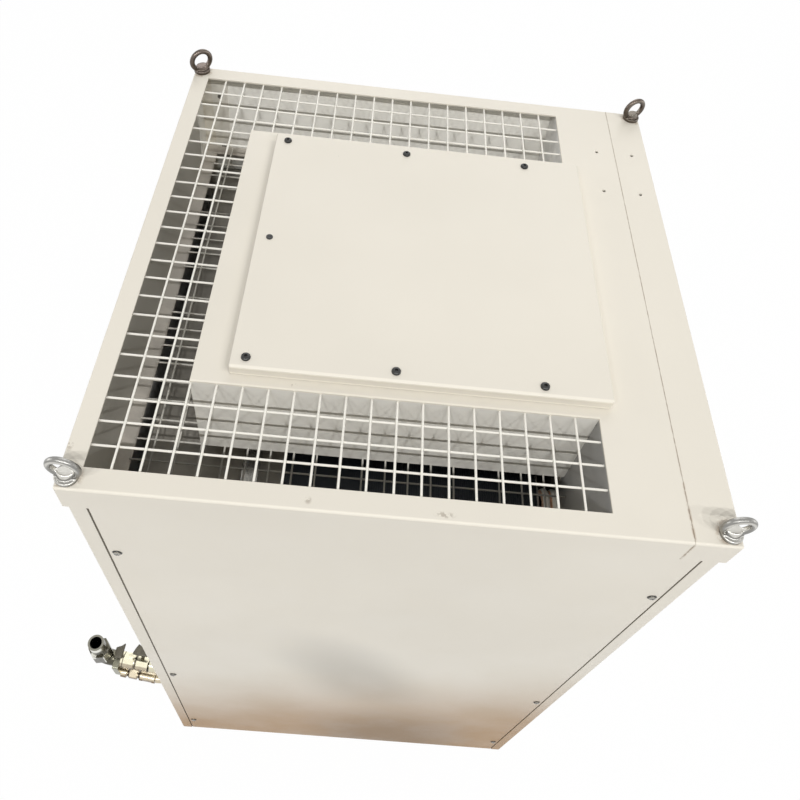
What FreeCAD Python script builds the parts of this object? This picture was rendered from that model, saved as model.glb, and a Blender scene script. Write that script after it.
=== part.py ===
import FreeCAD, Part
import math
import os

# Dry cooler: a free-standing sheet metal cabinet that blows its air out at the top,
# through a U-shaped mesh round a bolted terminal box, with a second mesh below it,
# lifting eyes at the corners and two pipe runs at the lower left.
# Millimetres, +Z up, origin on the floor at the middle of the cabinet.
# Near is -Y, far is +Y, left is -X and right is +X.

# Top plate
cap_length = 608.5
cap_width = 619.0
cap_height = 1022.0
cap_sheet = 2.0
cap_bend = 1.8
lip_height = 36.0
cap_clearance = 0.6
rim_left = 20.0
rim_side = 22.25
rim_right = 116.5
passage_left = 72.5
passage_side = 98.0
strip_width = 44.7
seam_gap = 0.4

# Welded mesh
mesh_pitch = 25.0
mesh_wire = 2.8
mesh_weld = 0.4
mesh_lap = 7.0
mesh_gap = 0.3
guard_wire = 2.6
guard_lap = 9.0
guard_side_cover = 187.25
guard_left_cover = 161.0

# Posts, panels and base
post_leg = 17.5
post_sheet = 1.5
post_bend = 3.5
joggle = 1.5
landing = 20.0
panel_sheet = 1.5
panel_gap = 2.0
panel_foot = 3.0
panel_head = 2.0
panel_return = 8.0
tray_sheet = 2.0
tray_upstand = 30.0
partition_sheet = 1.5
partition_flange = 15.0
partition_gap = 2.0

# Terminal box and lid
box_depth = 123.0
box_sheet = 1.5
lid_left_inset = 35.2
lid_side_inset = 13.25
lid_right_lap = 13.2
lid_near_shift = -1.5
lid_rise = 13.0
lid_gap = 1.5
lid_sheet = 1.5
lid_corner = 3.0
lid_edge = 1.4
gasket_width = 10.0
hatch_inset = 26.0

# Holes beside the seam for a bracket
bracket_hole = 4.4
bracket_span_x = 46.6
bracket_span_y = 74.5
bracket_inset = 90.0

# Lifting eyes, each with its inset from the plate's two edges and its turn in degrees
eye_inset_x = {"near_left": 9.5, "near_right": 10.5, "far_left": 9.0, "far_right": 11.0}
eye_inset_y = {"near_left": 12.0, "near_right": 12.5, "far_left": 8.5, "far_right": 10.0}
eye_turns = {"near_left": -6.0, "near_right": 4.0, "far_left": 38.0, "far_right": 25.0}
eye_outer = 32.5
eye_rod = 6.6
eye_collar = 21.5
eye_collar_height = 4.5
eye_neck = 13.0

# Ledge below the guard
ledge_width = 17.0
ledge_sheet = 1.5
ledge_gap = 0.4

# Coil and what stands round it
coil_top_drop = 35.0
coil_height = 140.0
coil_left_gap = 163.25
coil_right_gap = 22.75
coil_cheek = 2.0
fin_step = 8.0
fin_groove = 1.2
fin_depth = 2.5
stand_sheet = 2.0
stand_setback = 14.0
stand_foot = 10.0
deck_inset = 26.65
deck_sheet = 2.0
rail_gap = 26.0
rail_width = 18.0
rail_height = 6.0
header_pipe = 20.0
crossover_pipe = 10.0
crossover_inset = 11.9
crossover_span = 86.0
crossover_rise = 4.0
crossover_bend = 16.0

# Pipe runs at the lower left, which lean a little to the far side
upper_inset = 65.9
upper_z = 152.5
lower_offset = 13.0
lower_drop = 29.0
fitting_lean = 7.0
upper_pipe = 22.0
lower_pipe = 15.0
pipe_wall = 1.5
pipe_inside = 30.0
pipe_gap = 0.15
grommet_wall = 2.5
grommet_lip = 3.0
valve_start = 57.0
outer_hex = 25.0
outer_hex_length = 23.0
inner_hex = 23.0
inner_hex_length = 23.0
valve_ring = 3.5
valve_ring_size = 24.0
block_thick = 10.5
block_margin = 10.0
block_lower_margin = 6.0
block_corner = 3.0
elbow_throat = 8.3
elbow_bend = 14.0
elbow_tube = 26.5
elbow_bore = 19.8
elbow_rise = 80.0
elbow_nut = 32.0
elbow_nut_height = 32.0
elbow_nut_start = 16.0
elbow_nut_turn = 15.0
coupling_hex = 15.5
coupling_hex_length = 14.0
coupling_ring = 18.0
coupling_ring_length = 9.0
coupling_neck = 12.0
coupling_neck_length = 5.5
coupling_body = 17.5
coupling_body_length = 28.0
window_length = 18.0
window_height = 9.0
window_depth = 1.2
stem_rod = 7.0
stem_rise = 6.0
inner_stem = 14.0
handle_thick = 6.0

# Outlines of the two handles from above, about the foot of the stem, near edge first
outer_handle = ((-5.0, 0.5), (3.8, 0.5), (1.5, 15.0), (-11.3, 5.5), (-9.3, 4.0), (-5.0, 4.0))
inner_handle = ((-20.0, 1.5), (2.5, 1.5), (2.5, 9.0), (-15.2, 15.6))

# Worked out from the values above
body_x = cap_length / 2 - cap_sheet - cap_clearance
body_y = cap_width / 2 - cap_sheet - cap_clearance
under_cap = cap_height - cap_sheet
open_left = -cap_length / 2 + rim_left
open_right = cap_length / 2 - rim_right
opening_length = open_right - open_left
open_y = cap_width / 2 - rim_side
box_left = open_left + passage_left
box_y = open_y - passage_side
seam_x = cap_length / 2 - strip_width
panel_in_x = body_x - panel_sheet
panel_in_y = body_y - panel_sheet
landing_in_x = body_x - joggle - post_sheet
landing_in_y = body_y - joggle - post_sheet
box_bottom = under_cap - box_depth
guard_height = 2 * guard_wire - mesh_weld
ledge_top = box_bottom - guard_height
coil_top = box_bottom - coil_top_drop
wires_x = int((opening_length - mesh_wire) // mesh_pitch)
wires_y = int((2 * open_y - mesh_wire) // mesh_pitch)
first_x = open_left + (opening_length - (wires_x - 1) * mesh_pitch) / 2
first_y = -(wires_y - 1) * mesh_pitch / 2
lid_length = open_right + lid_right_lap - box_left - lid_left_inset
lid_width = 2 * (box_y - lid_side_inset)
lid_x = open_right + lid_right_lap - lid_length / 2
stand_y = landing_in_y - stand_setback
deck_left = -body_x + deck_inset
coil_left = open_left + coil_left_gap
coil_right = open_right - coil_right_gap
rail_left = coil_left - coil_cheek - rail_gap - rail_width
upper_y = -body_y + upper_inset
lower_y = upper_y - lower_offset
lower_z = upper_z - lower_drop
valve_x = -body_x - valve_start
valve_length = outer_hex_length + valve_ring + inner_hex_length
block_x = valve_x - valve_length
coupling_length = (coupling_ring_length + coupling_hex_length + coupling_body_length
                   + 2 * coupling_neck_length)
lean = math.radians(fitting_lean)
coupling_run = block_x + coupling_length - valve_x
lower_pipe_x = valve_x + coupling_run * math.cos(lean) - lower_offset * math.sin(lean)
lower_pipe_y = upper_y - coupling_run * math.sin(lean) - lower_offset * math.cos(lean)


def vec(x, y, z):
    return FreeCAD.Vector(x, y, z)


def block(x0, x1, y0, y1, z0, z1):
    return Part.makeBox(x1 - x0, y1 - y0, z1 - z0, vec(x0, y0, z0))


def rod(radius, length, start, axis):
    return Part.makeCylinder(radius, length, start, axis)


def joined(solids):
    return solids[0].fuse(solids[1:]).removeSplitter()


def hexagon(across, length, start, axis, turn=0.0):
    """Hexagonal bar of the given width across flats, from start along axis."""
    corner = across / math.sqrt(3)
    points = []
    for k in range(7):
        angle = math.radians(60 * k + turn)
        points.append(vec(corner * math.cos(angle), corner * math.sin(angle), 0))
    bar = Part.Face(Part.makePolygon(points)).extrude(vec(0, 0, length))
    bar.Placement = FreeCAD.Placement(start, FreeCAD.Rotation(vec(0, 0, 1), axis))
    return bar


def tube(outer, wall, length, start, axis):
    return rod(outer / 2, length, start, axis).cut(rod(outer / 2 - wall, length, start, axis))


def mirrored(shape, flip_x, flip_y):
    if flip_x:
        shape = shape.mirror(vec(0, 0, 0), vec(1, 0, 0))
    if flip_y:
        shape = shape.mirror(vec(0, 0, 0), vec(0, 1, 0))
    return shape


def save(name, shape):
    if len(shape.Solids) == 1:
        shape = shape.Solids[0]
    shape.exportStep("parts/" + name + ".step")


# Top plate in two pieces, with a folded lip all round

def folded_cap():
    shell = block(-cap_length / 2, cap_length / 2, -cap_width / 2, cap_width / 2,
                  cap_height - lip_height, cap_height)
    corners = [e for e in shell.Edges if abs(e.Vertexes[0].X - e.Vertexes[1].X) < 0.01
               and abs(e.Vertexes[0].Y - e.Vertexes[1].Y) < 0.01]
    shell = shell.makeFillet(cap_sheet, corners)
    bends = [e for e in shell.Edges if e.BoundBox.ZMin > cap_height - 0.01]
    shell = shell.makeFillet(cap_bend, bends)
    inside = block(-cap_length / 2 + cap_sheet, cap_length / 2 - cap_sheet,
                   -cap_width / 2 + cap_sheet, cap_width / 2 - cap_sheet,
                   cap_height - lip_height, under_cap)
    return shell.cut(inside)


def air_opening():
    """U-shaped opening: the whole opening less the island that carries the lid."""
    whole = block(open_left, open_right, -open_y, open_y, under_cap, cap_height)
    island = block(box_left, open_right, -box_y, box_y, under_cap, cap_height)
    return whole.cut(island)


def lid_hatch():
    return block(lid_x - lid_length / 2 + hatch_inset, open_right - hatch_inset,
                 lid_near_shift - lid_width / 2 + hatch_inset,
                 lid_near_shift + lid_width / 2 - hatch_inset, under_cap, cap_height)


def bracket_holes():
    holes = []
    bracket_y = cap_width / 2 - bracket_inset
    for x in (seam_x - bracket_span_x / 2, seam_x + bracket_span_x / 2):
        for y in (bracket_y - bracket_span_y, bracket_y):
            holes.append(rod(bracket_hole / 2, cap_sheet, vec(x, y, under_cap), vec(0, 0, 1)))
    return holes


def make_top():
    cap = folded_cap().cut([air_opening(), lid_hatch()] + bracket_holes())
    far = cap_length
    low = cap_height - lip_height
    main = cap.common(block(-far, seam_x - seam_gap / 2, -far, far, low, cap_height))
    strip = cap.common(block(seam_x + seam_gap / 2, far, -far, far, low, cap_height))
    save("top_plate", main)
    save("top_strip", strip)


# Welded mesh: bars of few sides, fused where they cross

def wire(start, end, size, sides):
    """Straight bar with one flat side up, size across its flats."""
    length = end.sub(start).Length
    along = end.sub(start).normalize()
    side = along.cross(vec(0, 0, 1))
    corner = size / 2 / math.cos(math.pi / sides)
    points = []
    for k in range(sides + 1):
        angle = math.pi / 2 + math.pi / sides + 2 * math.pi * k / sides
        points.append(start + side * (corner * math.cos(angle))
                      + vec(0, 0, corner * math.sin(angle)))
    return Part.Face(Part.makePolygon(points)).extrude(along * length)


def mesh(xs, ys, x_span, y_span, top, size, sides):
    """Crosswise wires at ys on top, depthwise wires at xs welded under them."""
    upper = top - size / 2
    lower = upper - size + mesh_weld
    bars = [wire(vec(x_span[0], y, upper), vec(x_span[1], y, upper), size, sides) for y in ys]
    bars += [wire(vec(x, y_span[0], lower), vec(x, y_span[1], lower), size, sides) for x in xs]
    return bars[0].fuse(bars[1:])


def make_meshes():
    xs = [first_x + i * mesh_pitch for i in range(wires_x)]
    ys = [first_y + j * mesh_pitch for j in range(wires_y)]
    edge = box_y + mesh_gap
    left_end = open_left - mesh_lap
    right_end = open_right - mesh_gap
    near = [y for y in ys if y < -edge]
    far = [y for y in ys if y > edge]
    middle = [y for y in ys if abs(y) < edge]
    left = [x for x in xs if x < box_left - mesh_gap]
    side_end = open_y + mesh_lap
    save("grille_near", mesh(xs, near, (left_end, right_end), (-side_end, -edge),
                             under_cap, mesh_wire, 6))
    save("grille_far", mesh(xs, far, (left_end, right_end), (edge, side_end),
                            under_cap, mesh_wire, 6))
    save("grille_left", mesh(left, middle, (left_end, box_left - mesh_gap), (-edge, edge),
                             under_cap, mesh_wire, 6))
    cut = -open_y + guard_side_cover
    inner = open_left + guard_left_cover
    guard_end = open_y + guard_lap
    side = [y for y in ys if y < cut]
    save("guard_near", mesh(xs, side, (left_end, right_end), (-guard_end, cut),
                            box_bottom, guard_wire, 4))
    save("guard_far", mesh(xs, [-y for y in side], (left_end, right_end), (-cut, guard_end),
                           box_bottom, guard_wire, 4))
    middle = [y for y in ys if cut < y < -cut]
    save("guard_left", mesh([x for x in xs if x < inner], middle, (left_end, inner),
                            (cut, -cut), box_bottom, guard_wire, 4))


# Posts, panels and base

def corner_post():
    """Folded post at the near left corner, with joggled landings behind the panels."""
    outer = block(-body_x, -body_x + post_leg, -body_y, -body_y + post_leg, 0, under_cap)
    corner = [e for e in outer.Edges if abs(e.Vertexes[0].X + body_x) < 0.01
              and abs(e.Vertexes[1].X + body_x) < 0.01
              and abs(e.Vertexes[0].Y + body_y) < 0.01
              and abs(e.Vertexes[1].Y + body_y) < 0.01]
    outer = outer.makeFillet(post_bend, corner)
    inner = block(-body_x + post_sheet, -body_x + post_leg, -body_y + post_sheet,
                  -body_y + post_leg, 0, under_cap)
    legs = outer.cut(inner)
    start = post_leg - post_sheet
    end = post_leg + landing
    front = block(-body_x + start, -body_x + end, -body_y + joggle, -landing_in_y,
                  0, under_cap)
    side = block(-body_x + joggle, -landing_in_x, -body_y + start, -body_y + end,
                 0, under_cap)
    return joined([legs, front, side])


def side_panel(half_width, face, inside):
    """Flat panel facing -Y between two posts, with a stiffening return at its head."""
    half = half_width - post_leg - panel_gap
    head = under_cap - panel_head
    plate = block(-half, half, -face, -inside, panel_foot, head)
    clear = half - landing
    fold = block(-clear, clear, -inside, -inside + panel_return, head - panel_sheet, head)
    return joined([plate, fold])


def quarter_turn(shape, turns):
    shape = shape.copy()
    shape.rotate(vec(0, 0, 0), vec(0, 0, 1), 90 * turns)
    return shape


def pipe_places():
    """Axis and size of each pipe where it passes through the left panel."""
    return ((upper_y, upper_z, upper_pipe), (lower_pipe_y, lower_z, lower_pipe))


def pipe_holes():
    holes = []
    for y, z, pipe in pipe_places():
        holes.append(rod(pipe / 2 + grommet_wall, 3 * panel_sheet,
                         vec(-body_x - panel_sheet, y, z), vec(1, 0, 0)))
    return holes


def make_body():
    post = corner_post()
    save("post_near_left", post)
    save("post_near_right", mirrored(post, True, False))
    save("post_far_left", mirrored(post, False, True))
    save("post_far_right", mirrored(post, True, True))
    front = side_panel(body_x, body_y, panel_in_y)
    side = side_panel(body_y, body_x, panel_in_x)
    save("panel_near", front)
    save("panel_far", quarter_turn(front, 2))
    save("panel_right", quarter_turn(side, 1))
    save("panel_left", quarter_turn(side, -1).cut(pipe_holes()))


def make_tray():
    outer = block(-landing_in_x, landing_in_x, -landing_in_y, landing_in_y, 0, tray_upstand)
    inner = block(-landing_in_x + tray_sheet, landing_in_x - tray_sheet,
                  -landing_in_y + tray_sheet, landing_in_y - tray_sheet,
                  tray_sheet, tray_upstand)
    save("base_tray", outer.cut(inner))


def make_partition():
    """Upright sheet that closes the air well on its right, flanged to both panels."""
    right = open_right + partition_sheet
    foot_y = landing_in_y - tray_sheet
    flange_low = tray_upstand + partition_gap
    flange_top = under_cap - panel_head - panel_sheet - partition_gap
    head_y = panel_in_y - panel_return - partition_gap
    web = [block(open_right, right, -foot_y, foot_y, tray_sheet, flange_low),
           block(open_right, right, -panel_in_y, panel_in_y, flange_low, flange_top),
           block(open_right, right, -head_y, head_y, flange_top, under_cap)]
    for y0, y1 in ((-panel_in_y, -landing_in_y), (landing_in_y, panel_in_y)):
        web.append(block(open_right, open_right + partition_flange, y0, y1,
                         flange_low, flange_top))
    save("partition", joined(web))


def make_ledge():
    """Four angle strips round the air well that carry the lower mesh."""
    low = ledge_top - ledge_width
    flat = ledge_top - ledge_sheet
    x0 = -landing_in_x
    near = joined([
        block(x0, open_right, -landing_in_y, -landing_in_y + ledge_width, flat, ledge_top),
        block(x0, open_right, -landing_in_y, -landing_in_y + ledge_sheet, low, ledge_top)])
    inner_y = landing_in_y - ledge_width - ledge_gap
    left = joined([
        block(x0, x0 + ledge_width, -inner_y, inner_y, flat, ledge_top),
        block(x0, x0 + ledge_sheet, -inner_y, inner_y, low, ledge_top)])
    right = joined([
        block(open_right - ledge_width, open_right, -inner_y, inner_y, flat, ledge_top),
        block(open_right - ledge_sheet, open_right, -inner_y, inner_y, low, ledge_top)])
    save("guard_ledges", Part.makeCompound([near, mirrored(near, False, True), left, right]))


# Terminal box under the island, with its bolted lid

def make_terminal_box():
    outer = block(box_left, open_right, -box_y, box_y, box_bottom, under_cap)
    inner = block(box_left + box_sheet, open_right, -box_y + box_sheet, box_y - box_sheet,
                  box_bottom + box_sheet, under_cap)
    save("terminal_box", outer.cut(inner))


def rounded_slab(inset, z0, z1, radius):
    slab = block(lid_x - lid_length / 2 + inset, lid_x + lid_length / 2 - inset,
                 lid_near_shift - lid_width / 2 + inset,
                 lid_near_shift + lid_width / 2 - inset, z0, z1)
    upright = [e for e in slab.Edges if abs(e.Vertexes[0].Z - e.Vertexes[1].Z) > 0.01]
    return slab.makeFillet(radius, upright)


def make_lid():
    low = cap_height + lid_gap
    top = cap_height + lid_rise
    shell = rounded_slab(0, low, top, lid_corner)
    rim = [e for e in shell.Edges if min(v.Z for v in e.Vertexes) > top - 0.01]
    shell = shell.makeFillet(lid_edge, rim)
    hollow = rounded_slab(lid_sheet, low, top - lid_sheet, lid_corner - lid_sheet)
    save("terminal_lid", shell.cut(hollow))
    strip = rounded_slab(lid_sheet, cap_height, top - lid_sheet, lid_corner - lid_sheet)
    inner = rounded_slab(lid_sheet + gasket_width, cap_height, top - lid_sheet, lid_edge)
    save("lid_gasket", strip.cut(inner))


# Lifting eyes

def lifting_eye():
    """Forged eye: collar, tapered neck and round ring, standing on z = 0."""
    collar = rod(eye_collar / 2, eye_collar_height, vec(0, 0, 0), vec(0, 0, 1))
    rim = [e for e in collar.Edges if e.BoundBox.ZMin > eye_collar_height - 0.01]
    collar = collar.makeFillet(eye_collar_height / 4, rim)
    ring_radius = (eye_outer - eye_rod) / 2
    ring = Part.makeTorus(ring_radius, eye_rod / 2, vec(0, 0, eye_outer / 2), vec(0, 1, 0))
    neck = Part.makeCone(eye_neck / 2, eye_rod / 2, 2 * eye_rod, vec(0, 0, 0), vec(0, 0, 1))
    hole = rod(ring_radius - eye_rod / 2, eye_collar, vec(0, -eye_collar / 2, eye_outer / 2),
               vec(0, 1, 0))
    above = block(-eye_outer, eye_outer, -eye_outer, eye_outer, 0, 2 * eye_outer)
    return joined([ring, neck.cut(hole), collar]).common(above)


def make_eyes():
    eye = lifting_eye()
    for name, turn in eye_turns.items():
        side_x = 1 if "right" in name else -1
        side_y = 1 if "far" in name else -1
        placed = eye.copy()
        placed.rotate(vec(0, 0, 0), vec(0, 0, 1), turn)
        placed.translate(vec(side_x * (cap_length / 2 - eye_inset_x[name]),
                             side_y * (cap_width / 2 - eye_inset_y[name]), cap_height))
        save("eye_" + name, placed)


# Coil, its stands and the deck beside it

def make_coil():
    low = coil_top - coil_height
    core = block(coil_left, coil_right, -stand_y, stand_y, low, coil_top)
    grooves = []
    count = int((coil_right - coil_left) // fin_step)
    first = (coil_left + coil_right - (count - 1) * fin_step) / 2
    for k in range(count):
        x = first + k * fin_step
        grooves.append(block(x - fin_groove / 2, x + fin_groove / 2, -stand_y, stand_y,
                             coil_top - fin_depth, coil_top))
    save("coil_fins", core.cut(grooves))
    cheeks = [block(x, x + coil_cheek, -stand_y, stand_y, low, coil_top)
              for x in (coil_left - coil_cheek, coil_right)]
    save("coil_cheeks", Part.makeCompound(cheeks))


def make_stands():
    left = deck_left
    for name, side in (("coil_stand_near", False), ("coil_stand_far", True)):
        plate = block(left, open_right, -stand_y - stand_sheet, -stand_y, tray_sheet, coil_top)
        fold = block(left, open_right, -stand_y - stand_sheet - stand_foot,
                     -stand_y - stand_sheet, tray_sheet, 2 * tray_sheet)
        save(name, mirrored(joined([plate, fold]), False, side))
    save("coil_deck", block(left, coil_left - coil_cheek, -stand_y, stand_y,
                            coil_top - deck_sheet, coil_top))
    rail = block(rail_left, rail_left + rail_width, -stand_y, stand_y,
                 coil_top, coil_top + rail_height)
    channel = block(rail_left + deck_sheet, rail_left + rail_width - deck_sheet,
                    -stand_y, stand_y, coil_top, coil_top + rail_height - deck_sheet)
    save("coil_rail", rail.cut(channel))


def crossover(x, low):
    """Inverted U of copper pipe: up, over towards the far side, and down again."""
    top = coil_top + crossover_rise + crossover_pipe / 2
    near = -stand_y + crossover_inset
    far = near + crossover_span
    bend = crossover_bend
    slope = bend * (1 - math.sqrt(0.5))
    edges = [
        Part.LineSegment(vec(x, near, low), vec(x, near, top - bend)),
        Part.Arc(vec(x, near, top - bend), vec(x, near + slope, top - slope),
                 vec(x, near + bend, top)),
        Part.LineSegment(vec(x, near + bend, top), vec(x, far - bend, top)),
        Part.Arc(vec(x, far - bend, top), vec(x, far - slope, top - slope),
                 vec(x, far, top - bend)),
        Part.LineSegment(vec(x, far, top - bend), vec(x, far, low)),
    ]
    path = Part.Wire([e.toShape() for e in edges])
    profile = Part.Wire([Part.makeCircle(crossover_pipe / 2, vec(x, near, low), vec(0, 0, 1))])
    return path.makePipeShell([profile], True, False)


def make_pipes_inside():
    x = coil_right + coil_cheek + header_pipe / 2
    z = coil_top - coil_height + header_pipe / 2
    header = rod(header_pipe / 2, 2 * stand_y, vec(x, -stand_y, z), vec(0, 1, 0))
    save("coil_header", header)
    gap = open_right - coil_right - coil_cheek
    middle = open_right - gap / 2
    pipes = [crossover(middle + side * gap / 4, z).cut(header) for side in (-1, 1)]
    save("coil_crossovers", Part.makeCompound(pipes))


# Pipe runs at the lower left

def leaned(shape):
    """Turns the outer fittings to the far side about the end of the upper pipe."""
    shape = shape.copy()
    shape.rotate(vec(valve_x, upper_y, 0), vec(0, 0, 1), -fitting_lean)
    return shape


def make_upper_run():
    start = valve_x + upper_pipe / 2 * math.sin(lean) + pipe_gap
    inside = -panel_in_x + pipe_inside
    save("upper_nipple", tube(upper_pipe, pipe_wall, inside - start,
                              vec(start, upper_y, upper_z), vec(1, 0, 0)))
    axis = vec(-1, 0, 0)
    ring_x = valve_x - inner_hex_length
    outer_x = ring_x - valve_ring
    body = [hexagon(inner_hex, inner_hex_length, vec(valve_x, upper_y, upper_z), axis),
            rod(valve_ring_size / 2, valve_ring, vec(ring_x, upper_y, upper_z), axis),
            hexagon(outer_hex, outer_hex_length, vec(outer_x, upper_y, upper_z), axis)]
    way = rod(upper_pipe / 2 - pipe_wall, valve_length, vec(valve_x, upper_y, upper_z), axis)
    save("upper_valve", leaned(joined(body).cut(way)))
    handles = [wing_handle(valve_x - inner_stem, inner_hex / 2, inner_handle),
               wing_handle(block_x - block_thick / 2, block_margin, outer_handle)]
    save("valve_handles", leaned(Part.makeCompound(handles)))


def wing_handle(x, seat, outline):
    """Stem and pointed wing of a small valve, reaching to the far side of the row."""
    y = upper_y + seat
    z = upper_z + stem_rise
    reach = max(point[1] for point in outline) / 2
    stem = rod(stem_rod / 2, reach, vec(x, y, z - handle_thick / 2), vec(0, 1, 0))
    points = [vec(x + dx, y + dy, z - handle_thick / 2) for dx, dy in outline]
    wing = Part.Face(Part.makePolygon(points + points[:1])).extrude(vec(0, 0, handle_thick))
    return joined([stem, wing])


def make_link_block():
    x0 = block_x - block_thick
    body = block(x0, block_x, lower_y - block_lower_margin, upper_y + block_margin,
                 lower_z - block_lower_margin, upper_z + block_margin)
    edges = [e for e in body.Edges if abs(e.Vertexes[0].X - e.Vertexes[1].X) > 0.01]
    body = body.makeFillet(block_corner, edges)
    way = rod(upper_pipe / 2 - pipe_wall, block_thick, vec(x0, upper_y, upper_z), vec(1, 0, 0))
    save("link_block", leaned(body.cut(way)))


def make_elbow():
    """Swept elbow that leaves the block to the left and turns straight up."""
    x1 = block_x - block_thick
    axis_x = x1 - elbow_throat - elbow_bend
    corner_z = upper_z + elbow_bend
    top = upper_z + elbow_rise
    slope = elbow_bend * (1 - math.sqrt(0.5))
    edges = [
        Part.LineSegment(vec(x1, upper_y, upper_z), vec(x1 - elbow_throat, upper_y, upper_z)),
        Part.Arc(vec(x1 - elbow_throat, upper_y, upper_z),
                 vec(axis_x + slope, upper_y, upper_z + slope),
                 vec(axis_x, upper_y, corner_z)),
        Part.LineSegment(vec(axis_x, upper_y, corner_z), vec(axis_x, upper_y, top)),
    ]
    path = Part.Wire([e.toShape() for e in edges])
    pipes = []
    for size in (elbow_tube, elbow_bore):
        ring = Part.makeCircle(size / 2, vec(x1, upper_y, upper_z), vec(1, 0, 0))
        pipes.append(path.makePipeShell([Part.Wire([ring])], True, False))
    nut = hexagon(elbow_nut, elbow_nut_height,
                  vec(axis_x, upper_y, upper_z + elbow_nut_start), vec(0, 0, 1), elbow_nut_turn)
    save("elbow", leaned(joined([pipes[0], nut]).cut(pipes[1])))


def make_lower_run():
    """Smaller run beside the upper one, seated on the same block."""
    axis = vec(1, 0, 0)
    x = block_x
    parts = []
    for length, size in ((coupling_ring_length, coupling_ring),
                         (coupling_neck_length, coupling_neck),
                         (coupling_hex_length, None),
                         (coupling_neck_length, coupling_neck),
                         (coupling_body_length, coupling_body)):
        start = vec(x, lower_y, lower_z)
        if size is None:
            parts.append(hexagon(coupling_hex, length, start, axis))
        else:
            parts.append(rod(size / 2, length, start, axis))
        x += length
    middle = x - coupling_body_length / 2
    face = lower_y - coupling_body / 2
    window = block(middle - window_length / 2, middle + window_length / 2,
                   face - window_depth, face + window_depth,
                   lower_z - window_height / 2, lower_z + window_height / 2)
    save("lower_coupling", leaned(joined(parts).cut(window)))
    start = lower_pipe_x + lower_pipe / 2 * math.sin(lean) + pipe_gap
    inside = -panel_in_x + pipe_inside
    save("lower_nipple", tube(lower_pipe, pipe_wall, inside - start,
                              vec(start, lower_pipe_y, lower_z), axis))


def make_grommets():
    rings = []
    for y, z, pipe in pipe_places():
        start = vec(-body_x - grommet_lip, y, z)
        length = panel_sheet + grommet_lip
        sleeve = rod(pipe / 2 + grommet_wall, length, start, vec(1, 0, 0))
        flange = rod(pipe / 2 + 2 * grommet_wall, grommet_lip, start, vec(1, 0, 0))
        hole = rod(pipe / 2, length, start, vec(1, 0, 0))
        rings.append(joined([sleeve, flange]).cut(hole))
    save("pipe_grommets", Part.makeCompound(rings))


os.makedirs("parts", exist_ok=True)
make_top()
make_meshes()
make_body()
make_tray()
make_partition()
make_ledge()
make_terminal_box()
make_lid()
make_eyes()
make_coil()
make_stands()
make_pipes_inside()
make_upper_run()
make_link_block()
make_elbow()
make_lower_run()
make_grommets()
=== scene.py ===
"""Looks of a dry cooler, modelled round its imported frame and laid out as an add-on."""
import functools
import math
import random

import bmesh
import bpy
from bpy.props import FloatProperty, FloatVectorProperty, PointerProperty
from mathutils import Matrix, Vector


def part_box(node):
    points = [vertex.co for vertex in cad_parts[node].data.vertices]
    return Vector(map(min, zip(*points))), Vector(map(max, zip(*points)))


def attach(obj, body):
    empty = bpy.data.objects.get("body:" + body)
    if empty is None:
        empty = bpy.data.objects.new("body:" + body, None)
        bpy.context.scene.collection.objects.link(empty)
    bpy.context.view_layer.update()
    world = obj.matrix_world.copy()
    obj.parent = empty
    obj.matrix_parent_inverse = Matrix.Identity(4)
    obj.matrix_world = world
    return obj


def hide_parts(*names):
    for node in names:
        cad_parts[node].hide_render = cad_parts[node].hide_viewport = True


bl_info = {
    "name": "Dry cooler",
    "version": (1, 0, 0),
    "blender": (4, 5, 0),
    "location": "3D View > Sidebar > Cooler",
    "description": "Models the fittings, mesh, bolts and finishes of a dry cooler",
    "category": "Object",
}

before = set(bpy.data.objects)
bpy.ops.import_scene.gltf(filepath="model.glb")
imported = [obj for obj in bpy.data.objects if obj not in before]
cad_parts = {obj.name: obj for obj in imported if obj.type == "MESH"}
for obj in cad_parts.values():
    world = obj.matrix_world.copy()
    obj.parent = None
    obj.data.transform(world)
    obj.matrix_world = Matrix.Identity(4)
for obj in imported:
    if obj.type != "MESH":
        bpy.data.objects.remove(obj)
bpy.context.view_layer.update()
BODY = "root"
SIDES = ("near", "far", "left")
EYES = {"near_left": -6.0, "near_right": 4.0, "far_left": 38.0, "far_right": 25.0}  # degrees
ROW_LEAN = 7.0  # degrees that the row of fittings leans towards the viewer
SHEET = 0.0015

# Colours of dirt, wear and stains, of painted light and shade, and of what has only one piece
SPECK = (0.16, 0.12, 0.08)
# dirt and painted shade in the joints beside the panels
JOINT_DIRT_AND_SHADE = (0.105, 0.085, 0.058)
MARK = (0.26, 0.20, 0.14)
# painted shade on the well's left wall above the shelf, painted light on it below the shelf
WELL_WALL_SHADE = (0.38, 0.365, 0.325)
WELL_FOOT_LIGHT = (0.92, 0.91, 0.89)
# painted light on the far wall of the well
FAR_WALL_LIGHT = (0.95, 0.93, 0.87)
# the block's dark far half is painted shadow
BLOCK, BLOCK_STAIN, BLOCK_FAR_SHADOW = (0.33, 0.325, 0.255), (0.22, 0.21, 0.16), (0.115, 0.095, 0.065)
# the elbow's neck colour is painted shade
ELBOW, ELBOW_MOUTH, ELBOW_NECK_SHADE = (0.185, 0.175, 0.135), (0.30, 0.29, 0.245), (0.085, 0.080, 0.060)
# painted highlight on the elbow's lip and flats
ELBOW_HIGHLIGHT = (0.88, 0.87, 0.80)
# painted highlight along the copper pipes' tops
PIPE_HIGHLIGHT = (0.97, 0.93, 0.86)
SCREW, SCREW_STAIN = (0.40, 0.39, 0.36), (0.12, 0.11, 0.10)
VALVE_BELOW, COUPLING_BELOW = (0.33, 0.28, 0.21), (0.20, 0.14, 0.09)
BLACK = (0.014, 0.014, 0.013)
# painted highlight on the far eyes' saddles
FAR_SADDLE_HIGHLIGHTS = {"far_left": (0.24, 0.20, 0.18), "far_right": (0.22, 0.20, 0.17)}


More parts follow.
